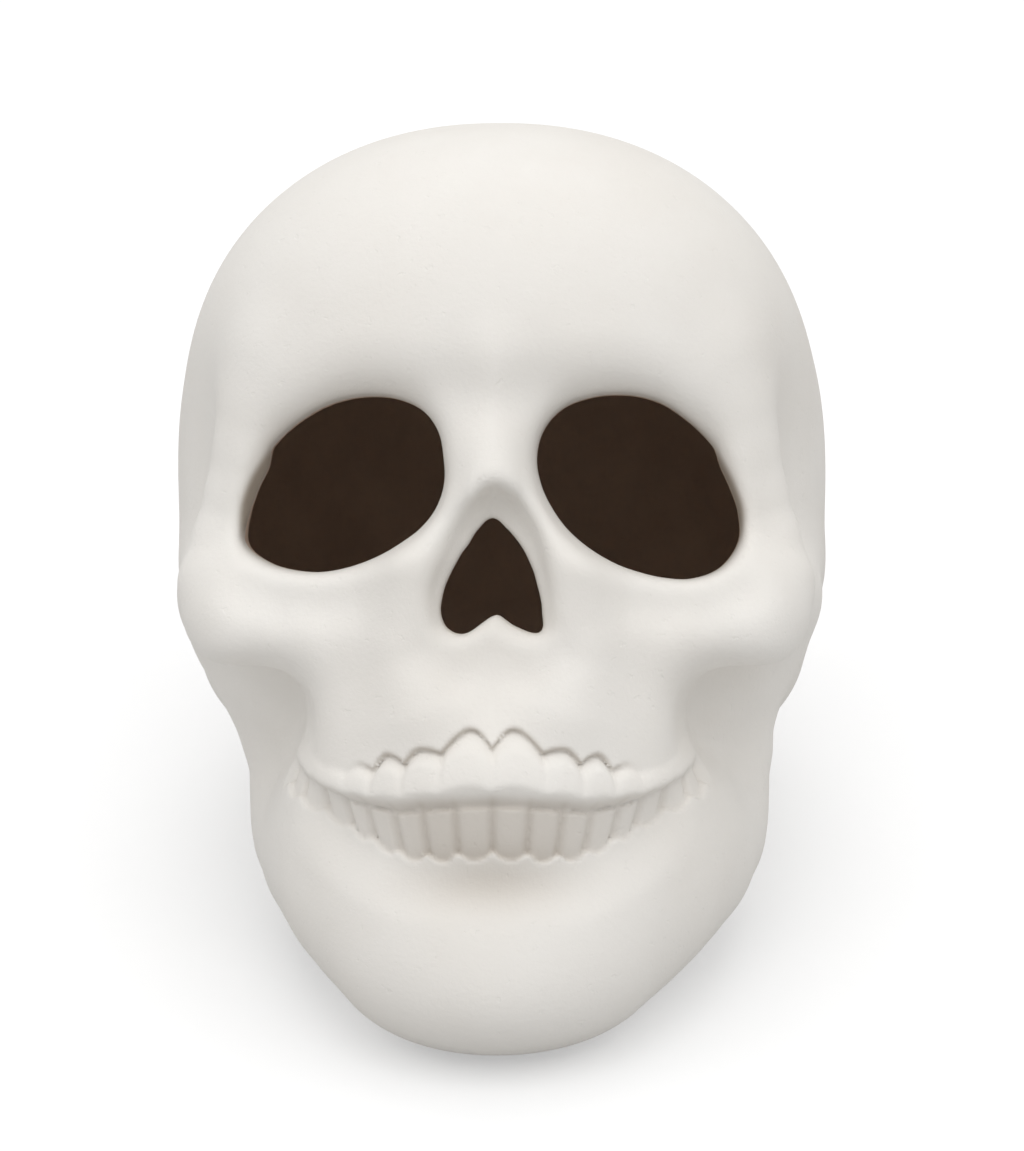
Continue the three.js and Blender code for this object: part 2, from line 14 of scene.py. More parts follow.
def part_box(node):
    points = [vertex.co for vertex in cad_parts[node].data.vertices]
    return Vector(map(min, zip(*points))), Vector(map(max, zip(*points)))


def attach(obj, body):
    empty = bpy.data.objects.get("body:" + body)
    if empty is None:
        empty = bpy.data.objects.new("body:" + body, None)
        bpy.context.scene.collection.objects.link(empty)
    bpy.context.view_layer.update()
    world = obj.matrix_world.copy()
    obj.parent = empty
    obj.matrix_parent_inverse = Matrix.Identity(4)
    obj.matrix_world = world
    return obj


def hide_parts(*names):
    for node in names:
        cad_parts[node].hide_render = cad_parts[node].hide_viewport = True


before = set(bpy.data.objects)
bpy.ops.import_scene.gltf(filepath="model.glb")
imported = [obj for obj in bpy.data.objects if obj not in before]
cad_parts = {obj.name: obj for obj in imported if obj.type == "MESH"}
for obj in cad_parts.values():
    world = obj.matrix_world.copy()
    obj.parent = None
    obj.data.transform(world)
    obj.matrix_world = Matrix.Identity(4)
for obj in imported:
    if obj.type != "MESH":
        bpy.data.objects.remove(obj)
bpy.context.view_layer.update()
shell_low, shell_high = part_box("skull_shell")

MM = 0.001
TINY = 1e-12

# Sizes of the casting
SKULL_BREADTH = 151 * MM
SKULL_LENGTH = 182 * MM
SKULL_HEIGHT = 205 * MM
WALL = 5 * MM
HALF = np.array([SKULL_BREADTH, SKULL_LENGTH, SKULL_HEIGHT]) / 2

# How it stands: tipped back, with its flats ground at the rest level and its pour hole upright
TILT = math.radians(22.953)
REST_LEVEL = -67.828 * MM
POUR_HOLE_DIAMETER = 44 * MM
POUR_HOLE_BACK = -26.36 * MM
POUR_HOLE_DEPTH = 51 * MM

# How softly neighbouring forms run together
JAW_JOIN = 18 * MM
BROAD_JOIN = 13 * MM
SOFT_JOIN = 9 * MM
FIRM_JOIN = 6 * MM
STRAND_JOIN = 1.5 * MM
CUT_ROUNDING = 1.2 * MM
BASE_ROUNDING = 2 * MM


# Clay forms: each returns the distance to its surface, inside negative
def place(shares):
    """A place given as shares of the half breadth, half length and half height."""
    return np.array(shares) * HALF


def join(a, b, softness):
    """The nearer of two forms, blended where both are within the softness of each other."""
    nearness = np.maximum(softness - np.abs(a - b), 0) / softness
    return np.minimum(a, b) - nearness * nearness * softness / 4


def press(a, b, softness):
    """Presses form b out of form a."""
    return -join(-a, b, softness)


def lump(centre_shares, reach_shares, squareness):
    """A rounded block: an ellipsoid where the squareness is 2, and boxier above that."""
    cx, cy, cz = place(centre_shares)
    rx, ry, rz = place(reach_shares)
    n = squareness

    def distance(x, y, z):
        u, v, w = np.abs(x - cx) / rx, np.abs(y - cy) / ry, np.abs(z - cz) / rz
        size = np.maximum(u**n + v**n + w**n, TINY) ** (1 / n)
        slope = np.sqrt((u ** (n - 1) / rx) ** 2 + (v ** (n - 1) / ry) ** 2 + (w ** (n - 1) / rz) ** 2)
        return (size - 1) / np.maximum(slope * size ** (1 - n), 1 / HALF[2])

    return distance


def strand(run_shares, thickness_shares, softness=STRAND_JOIN):
    """A run of tapering rolls of clay from place to place, such as a ridge or an arch of bone."""
    places = [place(shares) for shares in run_shares]
    radii = [share * HALF[0] for share in thickness_shares]

    def distance(x, y, z):
        nearest = None
        for start, end, r0, r1 in zip(places, places[1:], radii, radii[1:]):
            run = end - start
            px, py, pz = x - start[0], y - start[1], z - start[2]
            along = np.clip((px * run[0] + py * run[1] + pz * run[2]) / (run @ run), 0, 1)
            px, py, pz = px - along * run[0], py - along * run[1], pz - along * run[2]
            off = np.sqrt(px**2 + py**2 + pz**2)
            roll = off - r0 - along * (r1 - r0)
            nearest = roll if nearest is None else join(nearest, roll, softness)
        return nearest

    return distance


def dent(centre_shares, spread_shares):
    """A soft dent of depth one, faded over its spread."""
    cx, cy, cz = place(centre_shares)
    sx, sy, sz = place(spread_shares)
    return lambda x, y, z: np.exp(-(((x - cx) / sx) ** 2 + ((y - cy) / sy) ** 2 + ((z - cz) / sz) ** 2))


def crease(run_shares, width_share):
    """A soft dent of depth one along a run of places."""
    line = strand(run_shares, [0] * len(run_shares), MM)
    width = width_share * HALF[0]
    return lambda x, y, z: np.exp(-((line(x, y, z) / width) ** 2))


def eased(t):
    """A smooth step from zero to one as t goes from zero to one."""
    t = np.clip(t, 0, 1)
    return t * t * (3 - 2 * t)


def within(distance, fade):
    """One well inside an edge, a half on it and zero well outside, by the distance inside it."""
    return eased(distance / fade + 0.5)


class Opening:
    """A closed outline seen from the front: its reach at even turns, counterclockwise from +X."""

    def __init__(self, centre_shares, reach, reach_shares):
        self.x, _, self.z = place(centre_shares)
        self.reaches = reach * np.array(reach_shares)

    def distance(self, x, z):
        u, w = x - self.x, z - self.z
        count = len(self.reaches)
        spot = (np.arctan2(w, u) / (2 * math.pi) * count) % count
        low = np.floor(spot).astype(int)
        t = spot - low
        a, b, c, d = (self.reaches[(low + k) % count] for k in (-1, 0, 1, 2))
        first, second, third = c - a, 2 * a - 5 * b + 4 * c - d, 3 * b - a - 3 * c + d
        reach = (2 * b + t * first + t**2 * second + t**3 * third) / 2
        climb = (first + 2 * t * second + 3 * t**2 * third) / 2 * count / (2 * math.pi)
        return (np.hypot(u, w) - reach) / np.sqrt(1 + (climb / reach) ** 2)

    def heading(self, x, z):
        """How far a point lies to the right and up from the middle of the opening, each -1 to 1."""
        u, w = x - self.x, z - self.z
        far = np.hypot(u, w) + MM
        return u / far, w / far


# The outlines of the holes, and of the funnel round the nose
EYE_REACH = 19.8 * MM
NOSE_REACH = 10.3 * MM
FUNNEL_REACH = 10.3 * MM
left_eye_shares = [
    1.049, 1.081, 1.134, 1.134, 1.07, 0.99, 0.927, 0.884, 0.862, 0.87, 0.905, 0.965,
    1.07, 1.195, 1.27, 1.182, 1.06, 0.964, 0.89, 0.848, 0.84, 0.863, 0.927, 0.996,
]
right_eye_shares = [
    1.035, 0.945, 0.9, 0.877, 0.883, 0.921, 0.963, 1.017, 1.091, 1.168, 1.185, 1.135,
    1.045, 0.96, 0.903, 0.865, 0.855, 0.876, 0.925, 1.018, 1.144, 1.235, 1.23, 1.16,
]
nose_shares = [
    0.905, 0.874, 0.875, 0.924, 1.013, 1.153, 1.332, 1.132, 0.943, 0.875, 0.844, 0.864,
    0.935, 1.044, 1.194, 1.263, 1.154, 0.815, 0.646, 0.667, 0.994, 1.362, 1.164, 1.005,
]
funnel_shares = [
    1.04, 1.02, 1.06, 1.16, 1.31, 1.56, 1.69, 1.42, 1.18, 1.04, 0.98, 0.99,
    1.09, 1.23, 1.37, 1.5, 1.39, 1.12, 0.98, 1.16, 1.42, 1.53, 1.28, 1.12,
]
left_eye = Opening((-0.4155, 0, 0.1873), EYE_REACH, left_eye_shares)
right_eye = Opening((0.4044, 0, 0.1853), EYE_REACH, right_eye_shares)
nose = Opening((-0.0036, 0, -0.0176), NOSE_REACH, nose_shares)
funnel_mouth = Opening((0, 0, 0.001), FUNNEL_REACH, funnel_shares)

# The braincase
vault = lump((-0.002, 0.088, 0.193), (0.998, 0.989, 0.798), 2.25)
forehead = lump((0, -0.32, 0.425), (0.845, 0.593, 0.513), 2.15)
mastoid = strand([(0.758, 0.198, -0.017), (0.755, 0.154, -0.195)], (0.159, 0.106))
nape = lump((0, 0.495, -0.08), (0.795, 0.462, 0.39), 2)
temple = dent((0.874, -0.484, 0.137), (0.2, 0.187, 0.244))
side = dent((0.954, -0.242, 0.098), (0.212, 0.242, 0.254))
crown_swell = dent((0, 0, 0.97), (0.8, 0.26, 0.4))
TEMPLE_HOLLOW = 11 * MM
SIDE_HOLLOW = 3 * MM
CROWN_SWELL = 0.9 * MM


def braincase(x, y, z):
    dome = join(vault(x, y, z), forehead(x, y, z), BROAD_JOIN)
    dented = dome + TEMPLE_HOLLOW * temple(x, y, z) + SIDE_HOLLOW * side(x, y, z)
    dented = dented - CROWN_SWELL * crown_swell(x, y, z)
    return join(join(dented, mastoid(x, y, z), BROAD_JOIN), nape(x, y, z), BROAD_JOIN)


# The upper face and cheekbones
upper_face = lump((0, -0.418, 0.195), (0.768, 0.467, 0.429), 2.3)
orbit_side = strand(
    [
        (0.60, -0.64, 0.44), (0.64, -0.62, 0.35), (0.685, -0.607, 0.25), (0.73, -0.6, 0.16),
        (0.77, -0.6, 0.08), (0.785, -0.612, 0), (0.757, -0.64, -0.07),
    ],
    (0.07, 0.071, 0.073, 0.076, 0.08, 0.083, 0.08),
)
arch_top = strand(
    [
        (0.53, -0.764, -0.049), (0.662, -0.703, -0.039), (0.788, -0.593, -0.02), (0.833, -0.418, -0.012),
        (0.839, -0.242, -0.009), (0.834, -0.066, 0.012), (0.81, 0.11, 0.039),
    ],
    (0.058, 0.064, 0.066, 0.058, 0.056, 0.058, 0.066),
)
arch_underside = strand(
    [
        (0.53, -0.703, -0.127), (0.662, -0.659, -0.127), (0.787, -0.549, -0.107),
        (0.827, -0.396, -0.08), (0.855, -0.242, -0.064),
    ],
    (0.066, 0.061, 0.058, 0.056, 0.056),
)
cheek_body = lump((0.655, -0.69, -0.105), (0.165, 0.125, 0.098), 2.3)


def cheekbone(x, y, z):
    plate = join(arch_top(x, y, z), arch_underside(x, y, z), SOFT_JOIN)
    plate = join(plate, cheek_body(x, y, z), BROAD_JOIN)
    return join(plate, orbit_side(x, y, z), SOFT_JOIN)


# The middle of the face: upper jaw, the frame of the nose and the lower rim of the sockets
upper_jaw = lump((0, -0.549, -0.215), (0.47, 0.362, 0.3), 3)
nose_side = strand(
    [
        (0.132, -0.846, 0.332), (0.166, -0.879, 0.156), (0.212, -0.89, 0.02), (0.238, -0.874, -0.137),
        (0.185, -0.885, -0.273),
    ],
    (0.056, 0.061, 0.064, 0.073, 0.093),
)
lower_rim = strand(
    [(0.636, -0.681, -0.039), (0.503, -0.758, -0.054), (0.371, -0.824, -0.044), (0.238, -0.879, 0.02)],
    (0.061, 0.053, 0.053, 0.058),
)
nose_bridge = strand([(0, -0.824, 0.41), (0, -0.868, 0.273), (0, -0.962, 0.137)], (0.093, 0.074, 0.069))
cheek_crest = strand(
    [(0.583, -0.637, -0.117), (0.503, -0.615, -0.254), (0.477, -0.593, -0.371)],
    (0.079, 0.079, 0.093),
)
jaw_side = lump((0.36, -0.66, -0.22), (0.2, 0.205, 0.22), 2.5)
under_cheek = dent((0.6, -0.66, -0.29), (0.14, 0.2, 0.11))
cheek_cut = dent((0.68, -0.62, -0.232), (0.12, 0.22, 0.058))
beside_nose = dent((0.358, -0.879, -0.137), (0.106, 0.154, 0.088))
under_rim = crease(
    [
        (0.22, -0.915, 0.02), (0.31, -0.905, -0.02), (0.38, -0.885, -0.045), (0.47, -0.865, -0.055),
        (0.58, -0.852, -0.052), (0.68, -0.83, -0.03),
    ],
    0.072,
)
under_nose = crease(
    [
        (-0.19, -0.92, -0.165), (-0.1, -0.93, -0.195), (0, -0.93, -0.165),
        (0.1, -0.93, -0.195), (0.19, -0.92, -0.165),
    ],
    0.07,
)
nasion = dent((0, -0.95, 0.35), (0.17, 0.16, 0.06))
inner_brow = dent((0.11, -0.93, 0.36), (0.1, 0.12, 0.09))
over_chin = dent((0, -0.97, -0.63), (0.2, 0.3, 0.055))
CHEEK_HOLLOW = 7.5 * MM
CHEEK_CUT = 5 * MM
CANINE_HOLLOW = 0.6 * MM
RIM_FURROW = 2.8 * MM
RIM_FURROW_START_SHARE = 0.24
RIM_FURROW_FADE_SHARE = 0.2
NOSE_FURROW = 1.2 * MM
NASION_DIP = 2 * MM
BROW_HOLLOW = 2.8 * MM
CHIN_HOLLOW = 2.6 * MM


def middle_face(x, y, z):
    d = join(nose_side(x, y, z), lower_rim(x, y, z), SOFT_JOIN)
    d = join(d, cheek_crest(x, y, z), BROAD_JOIN)
    d = join(d, jaw_side(x, y, z), BROAD_JOIN)
    return join(d, nose_bridge(x, y, z), FIRM_JOIN)


# The lower jaw, which sits a little to one side behind the chin
tooth_block = lump((0, -0.538, -0.41), (0.53, 0.442, 0.25), 2.1)
jaw_front = lump((0, -0.484, -0.639), (0.559, 0.47, 0.317), 2.1)
jaw_body = lump((0, -0.264, -0.5), (0.66, 0.571, 0.222), 2.4)
chin = lump((0, -0.758, -0.828), (0.275, 0.2, 0.145), 2)
jaw_border = strand(
    [(0.569, -0.2, -0.567), (0.543, -0.35, -0.628), (0.417, -0.549, -0.674), (0.246, -0.692, -0.758)],
    (0.123, 0.122, 0.133, 0.168),
)
ramus = strand(
    [(0.587, -0.22, -0.55), (0.671, -0.176, -0.362), (0.716, -0.165, -0.24), (0.795, -0.154, -0.155)],
    (0.11, 0.106, 0.093, 0.093),
)
throat = lump((0, -0.08, -0.74), (0.44, 0.44, 0.3), 2.2)
JAW_DRIFT = 2.2 * MM
_, drift_front, drift_top = place((0, -0.88, -0.14))
_, drift_back, drift_foot = place((0, -0.33, -0.42))


def lower_jaw(x, y, z):
    behind = eased((y - drift_front) / (drift_back - drift_front))
    across = np.abs(x - JAW_DRIFT * behind * eased((z - drift_top) / (drift_foot - drift_top)))
    d = join(jaw_front(across, y, z), chin(across, y, z), BROAD_JOIN)
    d = join(d, jaw_border(across, y, z), JAW_JOIN)
    d = join(d, jaw_body(across, y, z), JAW_JOIN)
    d = join(d, ramus(across, y, z), BROAD_JOIN)
    return join(d, tooth_block(np.abs(x), y, z), BROAD_JOIN)


# The teeth: two rows that stand out of the jaws by a height that follows the arch
arch_middle = place((0, -0.538, 0))[1]
ARCH_REACH = 41 * MM
upper_turns = [0, 15, 26, 36, 45, 54, 63, 72, 81]
lower_turns = [0, 11.5, 21.7, 31, 40.5, 49, 58.5, 69, 79]
gum_turns = [0, 6.5, 15, 20.5, 26, 31, 36, 40.5, 45, 54, 63, 72, 81]
gum_shares = [
    -0.346, -0.308, -0.355, -0.346, -0.376, -0.359, -0.391, -0.381, -0.395, -0.385, -0.366,
    -0.341, -0.317,
]
bite_turns = [0, 20, 30, 45, 60, 80]
bite_shares = [-0.463, -0.471, -0.478, -0.459, -0.429, -0.395]
root_shares = [-0.569, -0.576, -0.573, -0.532, -0.486, -0.442]
GUM_STEP = 1.2 * MM
GUM_STEP_START_SHARE = 0.7
GUM_STEP_FADE_SHARE = 0.3
UPPER_BULGE = 1.3 * MM
UPPER_BULGE_POWER = 0.8
UPPER_TUCK = 3.2 * MM
UPPER_TUCK_SHARE = 0.35
LIP_HOLLOW = 2.8 * MM
LIP_RELEASE = 13 * MM
LOWER_TUCK_TOP = 1.2 * MM
LOWER_TUCK_FOOT = 0.9 * MM
LOWER_STAND_OUT = 1.0 * MM
UPPER_GROOVE = 0.3 * MM
UPPER_GROOVE_WIDTH = 0.7 * MM
LOWER_GROOVE = 0.85 * MM
LOWER_GROOVE_WIDTH = 1.0 * MM
ROOT_SCALLOP = 1.5 * MM
ROOT_SCALLOP_WIDTH = 1.6 * MM
EDGE_FADE = 0.7 * MM
SIDE_FADE = 3 * MM
SIDE_CALM_SHARE = 0.6
TOOTH_BACKING = 4 * MM
BACKING_SPREAD = 14 * MM
bite_height = place((0, 0, -0.48))[2]

# Where along the arch each relief starts to fade, and over how many degrees it does
FRONT_END, FRONT_FADE = 34, 16
UPPER_CALM_START, UPPER_CALM_FADE = 36, 30
LOWER_CALM_START, LOWER_CALM_FADE = 48, 24
ROW_END, ROW_END_FADE = 86, 6


def groove(turn, edges, width):
    """One on the line between two teeth and zero away from it."""
    off = np.min([np.abs(turn - edge) for edge in edges], axis=0)
    return np.exp(-((np.radians(off) * ARCH_REACH / width) ** 2))


def scalloped(turn, turns, shares):
    """The gum line: a point between two teeth, a round top over each tooth, and so on by turns."""
    i = np.clip(np.searchsorted(turns, turn) - 1, 0, len(turns) - 2)
    start, end = np.array(turns)[i], np.array(turns)[i + 1]
    heights = np.array(shares) * HALF[2]
    low, high = np.minimum(heights[i], heights[i + 1]), np.maximum(heights[i], heights[i + 1])
    along = np.clip((turn - start) / (end - start), 0, 1)
    along = np.where(heights[i + 1] > heights[i], along, 1 - along)
    return low + (high - low) * np.sin(along * math.pi / 2)


def row_lines(x, y):
    """The turn along the arch, and the heights of the gum line, the bite and the lower teeth's feet.

    The feet come twice: as a plain line, and with a point between each two teeth.
    """
    turn = np.degrees(np.arctan2(np.abs(x), arch_middle - y))
    gum = scalloped(turn, gum_turns, gum_shares)
    bite = np.interp(turn, bite_turns, bite_shares) * HALF[2]
    foot = np.interp(turn, bite_turns, root_shares) * HALF[2]
    root = foot + ROOT_SCALLOP * groove(turn, lower_turns, ROOT_SCALLOP_WIDTH)
    return turn, gum, bite, foot, root


def upper_relief(turn, gum, bite, z):
    """The upper crowns: bulged in the middle, tucked in at the bite and stepped at the gum."""
    share = np.clip((z - bite) / (gum - bite), 0, 1)
    front = 1 - eased((turn - FRONT_END) / FRONT_FADE)
    step = GUM_STEP * front * eased((share - GUM_STEP_START_SHARE) / GUM_STEP_FADE_SHARE)
    tuck = UPPER_TUCK * (1 - eased(share / UPPER_TUCK_SHARE))
    crown = UPPER_BULGE * np.sin(math.pi * share**UPPER_BULGE_POWER) - tuck - step
    crown = crown * (1 - SIDE_CALM_SHARE * eased((turn - UPPER_CALM_START) / UPPER_CALM_FADE))
    crown = crown - UPPER_GROOVE * front * groove(turn, upper_turns, UPPER_GROOVE_WIDTH)
    gum_fade = EDGE_FADE + SIDE_FADE * (1 - front)
    return within(gum - z, gum_fade) * within(z - bite, EDGE_FADE) * crown


def lower_relief(turn, bite, root, near, z):
    """The lower teeth: pegs that stand out at the front and sink into the jaw at the sides."""
    down = np.clip((bite - z) / (bite - root), 0, 1)
    top = -LOWER_TUCK_TOP + (LOWER_STAND_OUT + LOWER_TUCK_TOP) * near
    joints = LOWER_GROOVE * groove(turn, lower_turns, LOWER_GROOVE_WIDTH)
    peg = top - (LOWER_TUCK_FOOT + top) * down - joints
    return within(bite - z, EDGE_FADE) * within(z - root, EDGE_FADE) * peg


def teeth(x, y, z):
    """How far the tooth rows stand out of the jaws, negative where they lie deeper."""
    turn, gum, bite, foot, root = row_lines(x, y)
    near = 1 - eased((turn - LOWER_CALM_START) / LOWER_CALM_FADE)
    rows = upper_relief(turn, gum, bite, z) + lower_relief(turn, bite, root, near, z)
    lip = within(bite - z, EDGE_FADE) * eased((z - foot + LIP_RELEASE) / LIP_RELEASE)
    return (rows - LIP_HOLLOW * near * lip) * eased((ROW_END - turn) / ROW_END_FADE)


# The sockets and the nose funnel, pressed in from the front and narrowing with depth
SOCKET_DEPTH = 26 * MM
SOCKET_TAPER = 0.16
SOCKET_RIM = 1.4 * MM
SOCKET_SIDE_RIM = 0.8 * MM
LOW_RIM_JOIN = 4 * MM
HIGH_RIM_JOIN = 12 * MM
FUNNEL_JOIN = 3.5 * MM
LEFT_SIDE_WALL = 1.9 * MM
RIGHT_SIDE_WALL = 1.1 * MM
EYES = ((left_eye, -1, LEFT_SIDE_WALL), (right_eye, 1, RIGHT_SIDE_WALL))
socket_mouth = place((0, -0.9, 0))[1]
funnel_floor = place((0, -0.86, 0))[1]

# The heading, outward or up, from which each rim changes, and over how much of it
SIDE_RIM_START, SIDE_RIM_FADE = 0.3, 0.6
HIGH_RIM_START, HIGH_RIM_FADE = -0.2, 1.0
SIDE_WALL_START, SIDE_WALL_FADE = 0.84, 0.11


def socket(eye, outward, x, y, z):
    """The socket's pit, and how softly its rim turns in: firmly below and widely under the brow."""
    right, up = eye.heading(x, z)
    rim = SOCKET_RIM + SOCKET_SIDE_RIM * eased((outward * right - SIDE_RIM_START) / SIDE_RIM_FADE)
    width = eye.distance(x, z) - rim + SOCKET_TAPER * (y - socket_mouth)
    pit = -join(-width, socket_mouth + SOCKET_DEPTH - y, FIRM_JOIN)
    high = eased((up - HIGH_RIM_START) / HIGH_RIM_FADE)
    return pit, LOW_RIM_JOIN + (HIGH_RIM_JOIN - LOW_RIM_JOIN) * high


def funnel(x, y, z):
    width = funnel_mouth.distance(x, z) + SOCKET_TAPER * (y - socket_mouth)
    return -join(-width, funnel_floor - y, FIRM_JOIN)


def core(x, y, z):
    """The thick forms that the casting is hollow inside."""
    across = np.abs(x)
    d = join(braincase(across, y, z), upper_face(across, y, z), SOFT_JOIN)
    d = join(d, upper_jaw(across, y, z), SOFT_JOIN)
    return join(d, lower_jaw(x, y, z), FIRM_JOIN)


def pressed(d, x, y, z):
    """Presses in the throat, the sockets and the nose funnel."""
    d = press(d, throat(x, y, z), BROAD_JOIN)
    for eye, outward, _ in EYES:
        pit, softness = socket(eye, outward, x, y, z)
        d = press(d, pit, softness)
    return press(d, funnel(x, y, z), FUNNEL_JOIN)


def skull(x, y, z):
    """The whole outside, with its teeth."""
    across = np.abs(x)
    d = join(core(x, y, z), middle_face(across, y, z), SOFT_JOIN)
    d = join(d, cheekbone(across, y, z), BROAD_JOIN)
    d = d + CHEEK_HOLLOW * under_cheek(across, y, z) + CANINE_HOLLOW * beside_nose(across, y, z)
    d = d + CHEEK_CUT * cheek_cut(across, y, z) + BROW_HOLLOW * inner_brow(across, y, z)
    along = eased((across / HALF[0] - RIM_FURROW_START_SHARE) / RIM_FURROW_FADE_SHARE)
    d = d + RIM_FURROW * along * under_rim(across, y, z)
    d = d + NOSE_FURROW * under_nose(x, y, z) + NASION_DIP * nasion(x, y, z)
    d = d + CHIN_HOLLOW * over_chin(x, y, z)
    return pressed(d - teeth(x, y, z), x, y, z)


def hollow(outside, x, y, z):
    """The space inside, a wall's thickness within the outside, and thicker behind the tooth rows."""
    backing = TOOTH_BACKING * np.exp(-(((z - bite_height) / BACKING_SPREAD) ** 2))
    return np.maximum(pressed(core(x, y, z), x, y, z), outside) + WALL + backing


def eye_cut(eye, outward, side_wall, x, z):
    """The eye hole, which stops short of the socket's side wall so that the wall shows there."""
    right, _ = eye.heading(x, z)
    return eye.distance(x, z) + side_wall * eased((outward * right - SIDE_WALL_START) / SIDE_WALL_FADE)


def upright(y, z):
    """Sculpt depth and height as they stand, once the skull is tipped back."""
    return y * math.cos(TILT) + z * math.sin(TILT), z * math.cos(TILT) - y * math.sin(TILT)


def cuts(x, y, z):
    """The holes cut through the wall: both eyes, the nose and the pour hole."""
    holes = [eye_cut(eye, outward, side_wall, x, z) for eye, outward, side_wall in EYES]
    front = np.maximum(np.minimum.reduce([*holes, nose.distance(x, z)]), y + WALL)
    back, up = upright(y, z)
    pour = np.hypot(x, back - POUR_HOLE_BACK) - POUR_HOLE_DIAMETER / 2
    pour_top = REST_LEVEL + POUR_HOLE_DEPTH
    return np.minimum(front, np.maximum(pour, up - pour_top))


def casting(x, y, z):
    """The whole casting: hollowed, cut through and ground flat where it stands."""
    outside = skull(x, y, z)
    d = press(outside, hollow(outside, x, y, z), CUT_ROUNDING)
    d = press(d, cuts(x, y, z), CUT_ROUNDING)
    _, up = upright(y, z)
    return -join(-d, up - REST_LEVEL, BASE_ROUNDING)


# Painted shade: the bisque darkened where shade falls, on the lower teeth and the tucked edge of the upper
# ones over them, between the lower teeth, along the gum groove, in the hollow under the lip and in the rims
# of the holes
# Painted shade in the hollow over the chin, under the lower teeth
under_lip = dent((0, -0.9, -0.615), (0.21, 0.5, 0.055))
ROW_SHADE_SHARE = 0.42
SIDE_ROW_LOSS_SHARE = 0.8
JOINT_SHADE_SHARE = 0.12
JOINT_SHADE_WIDTH = 0.8 * MM
GUM_LINE_SHADE_SHARE = 0.5
GUM_LINE_SHADE_WIDTH = 0.7 * MM
LIP_SHADE_SHARE = 0.42
RIM_SHADE_SHARE = 0.9
RIM_SHADE_START_SHARE = 0.3
RIM_SHADE_WIDTH = 1.5 * MM
SHADE_OVER_BITE = 3.5 * MM
SHADE_OVER_BITE_FADE = 2.5 * MM
FACE_FADE = 10 * MM

# Where along the arch the painted shade starts to fade, and over how many degrees it does
SIDE_SHADE_START, SIDE_SHADE_FADE = 14, 40
GUM_LINE_SHADE_END, GUM_LINE_SHADE_FADE = 30, 16


def row_painted_shade(x, y, z):
    """The share of painted shade on the lower teeth and the edge over them, between them, and along the gum
    line.
    """
    turn, gum, bite, _, root = row_lines(x, y)
    row = eased((bite + SHADE_OVER_BITE - z) / SHADE_OVER_BITE_FADE) * within(z - root, EDGE_FADE)
    loss_share = SIDE_ROW_LOSS_SHARE * eased((turn - SIDE_SHADE_START) / SIDE_SHADE_FADE)
    joint_share = JOINT_SHADE_SHARE * groove(turn, lower_turns, JOINT_SHADE_WIDTH)
    line_share = GUM_LINE_SHADE_SHARE * np.exp(-(((z - gum) / GUM_LINE_SHADE_WIDTH) ** 2))
    line_share = line_share * (1 - eased((turn - GUM_LINE_SHADE_END) / GUM_LINE_SHADE_FADE))
    return np.maximum(row * (ROW_SHADE_SHARE * (1 - loss_share) + joint_share), line_share)


def rim_painted_shade(x, z):
    """The share of painted shade in the cut rims of the eye and nose holes."""
    holes = (left_eye, right_eye, nose)
    rims = [eased(RIM_SHADE_START_SHARE - hole.distance(x, z) / RIM_SHADE_WIDTH) for hole in holes]
    return RIM_SHADE_SHARE * np.maximum.reduce(rims)


def painted_shading(x, y, z):
    """The share of painted shade at each point, on the front of the skull alone."""
    front = eased((arch_middle - y) / FACE_FADE)
    shade_share = front * np.maximum(row_painted_shade(x, y, z), rim_painted_shade(x, z))
    # The painted shade of the rows and rims, plus painted shade in the hollow under the lip
    return np.clip(shade_share + LIP_SHADE_SHARE * under_lip(x, y, z), 0, 1)


# Skinning: the corners of each block of the grid are tried first, then all of it near the surface
BLOCK = 4
BLOCK_REACH_SHARE = 0.75
GRID_MARGIN = np.array([4, 14, 6]) * MM
TOOTH_STEP = 0.62 * MM
FACE_STEP = 1.1 * MM
BACK_STEP = 2.2 * MM
CORNERS = list(np.ndindex(2, 2, 2))


def grid_lines(low, high, step_at):
    """Lines from low to past high, with a whole number of blocks between them."""
    lines = [low]
    while lines[-1] < high or (len(lines) - 1) % BLOCK:
        lines.append(lines[-1] + step_at(lines[-1]))
    return np.array(lines)


def sampled(field, axes):
    """The form's distance on the grid: exact near its surface, and its sign alone away from it."""
    coarse = [axis[::BLOCK] for axis in axes]
    corners = field(*(line.ravel() for line in np.meshgrid(*coarse, indexing="ij")))
    corners = corners.reshape([len(axis) for axis in coarse])
    values = corners
    for axis in range(3):
        values = np.repeat(values, BLOCK, axis)
    values = values[tuple(slice(0, len(axis)) for axis in axes)].copy()
    least = np.full([n - 1 for n in corners.shape], np.inf)
    most = -least
    for offset in CORNERS:
        part = corners[tuple(slice(o, n - 1 + o) for o, n in zip(offset, corners.shape))]
        least, most = np.minimum(least, part), np.maximum(most, part)
    width, depth, height = np.meshgrid(*(np.diff(axis) for axis in coarse), indexing="ij")
    reach = np.sqrt(width**2 + depth**2 + height**2) * BLOCK_REACH_SHARE
    near = np.argwhere((least < reach) & (most > -reach))
    inner = np.array(list(np.ndindex(BLOCK + 1, BLOCK + 1, BLOCK + 1)))
    spots = np.unique(np.ravel_multi_index((near[:, None] * BLOCK + inner).reshape(-1, 3).T, values.shape))
    i, j, k = np.unravel_index(spots, values.shape)
    values[i, j, k] = field(axes[0][i], axes[1][j], axes[2][k])
    return values


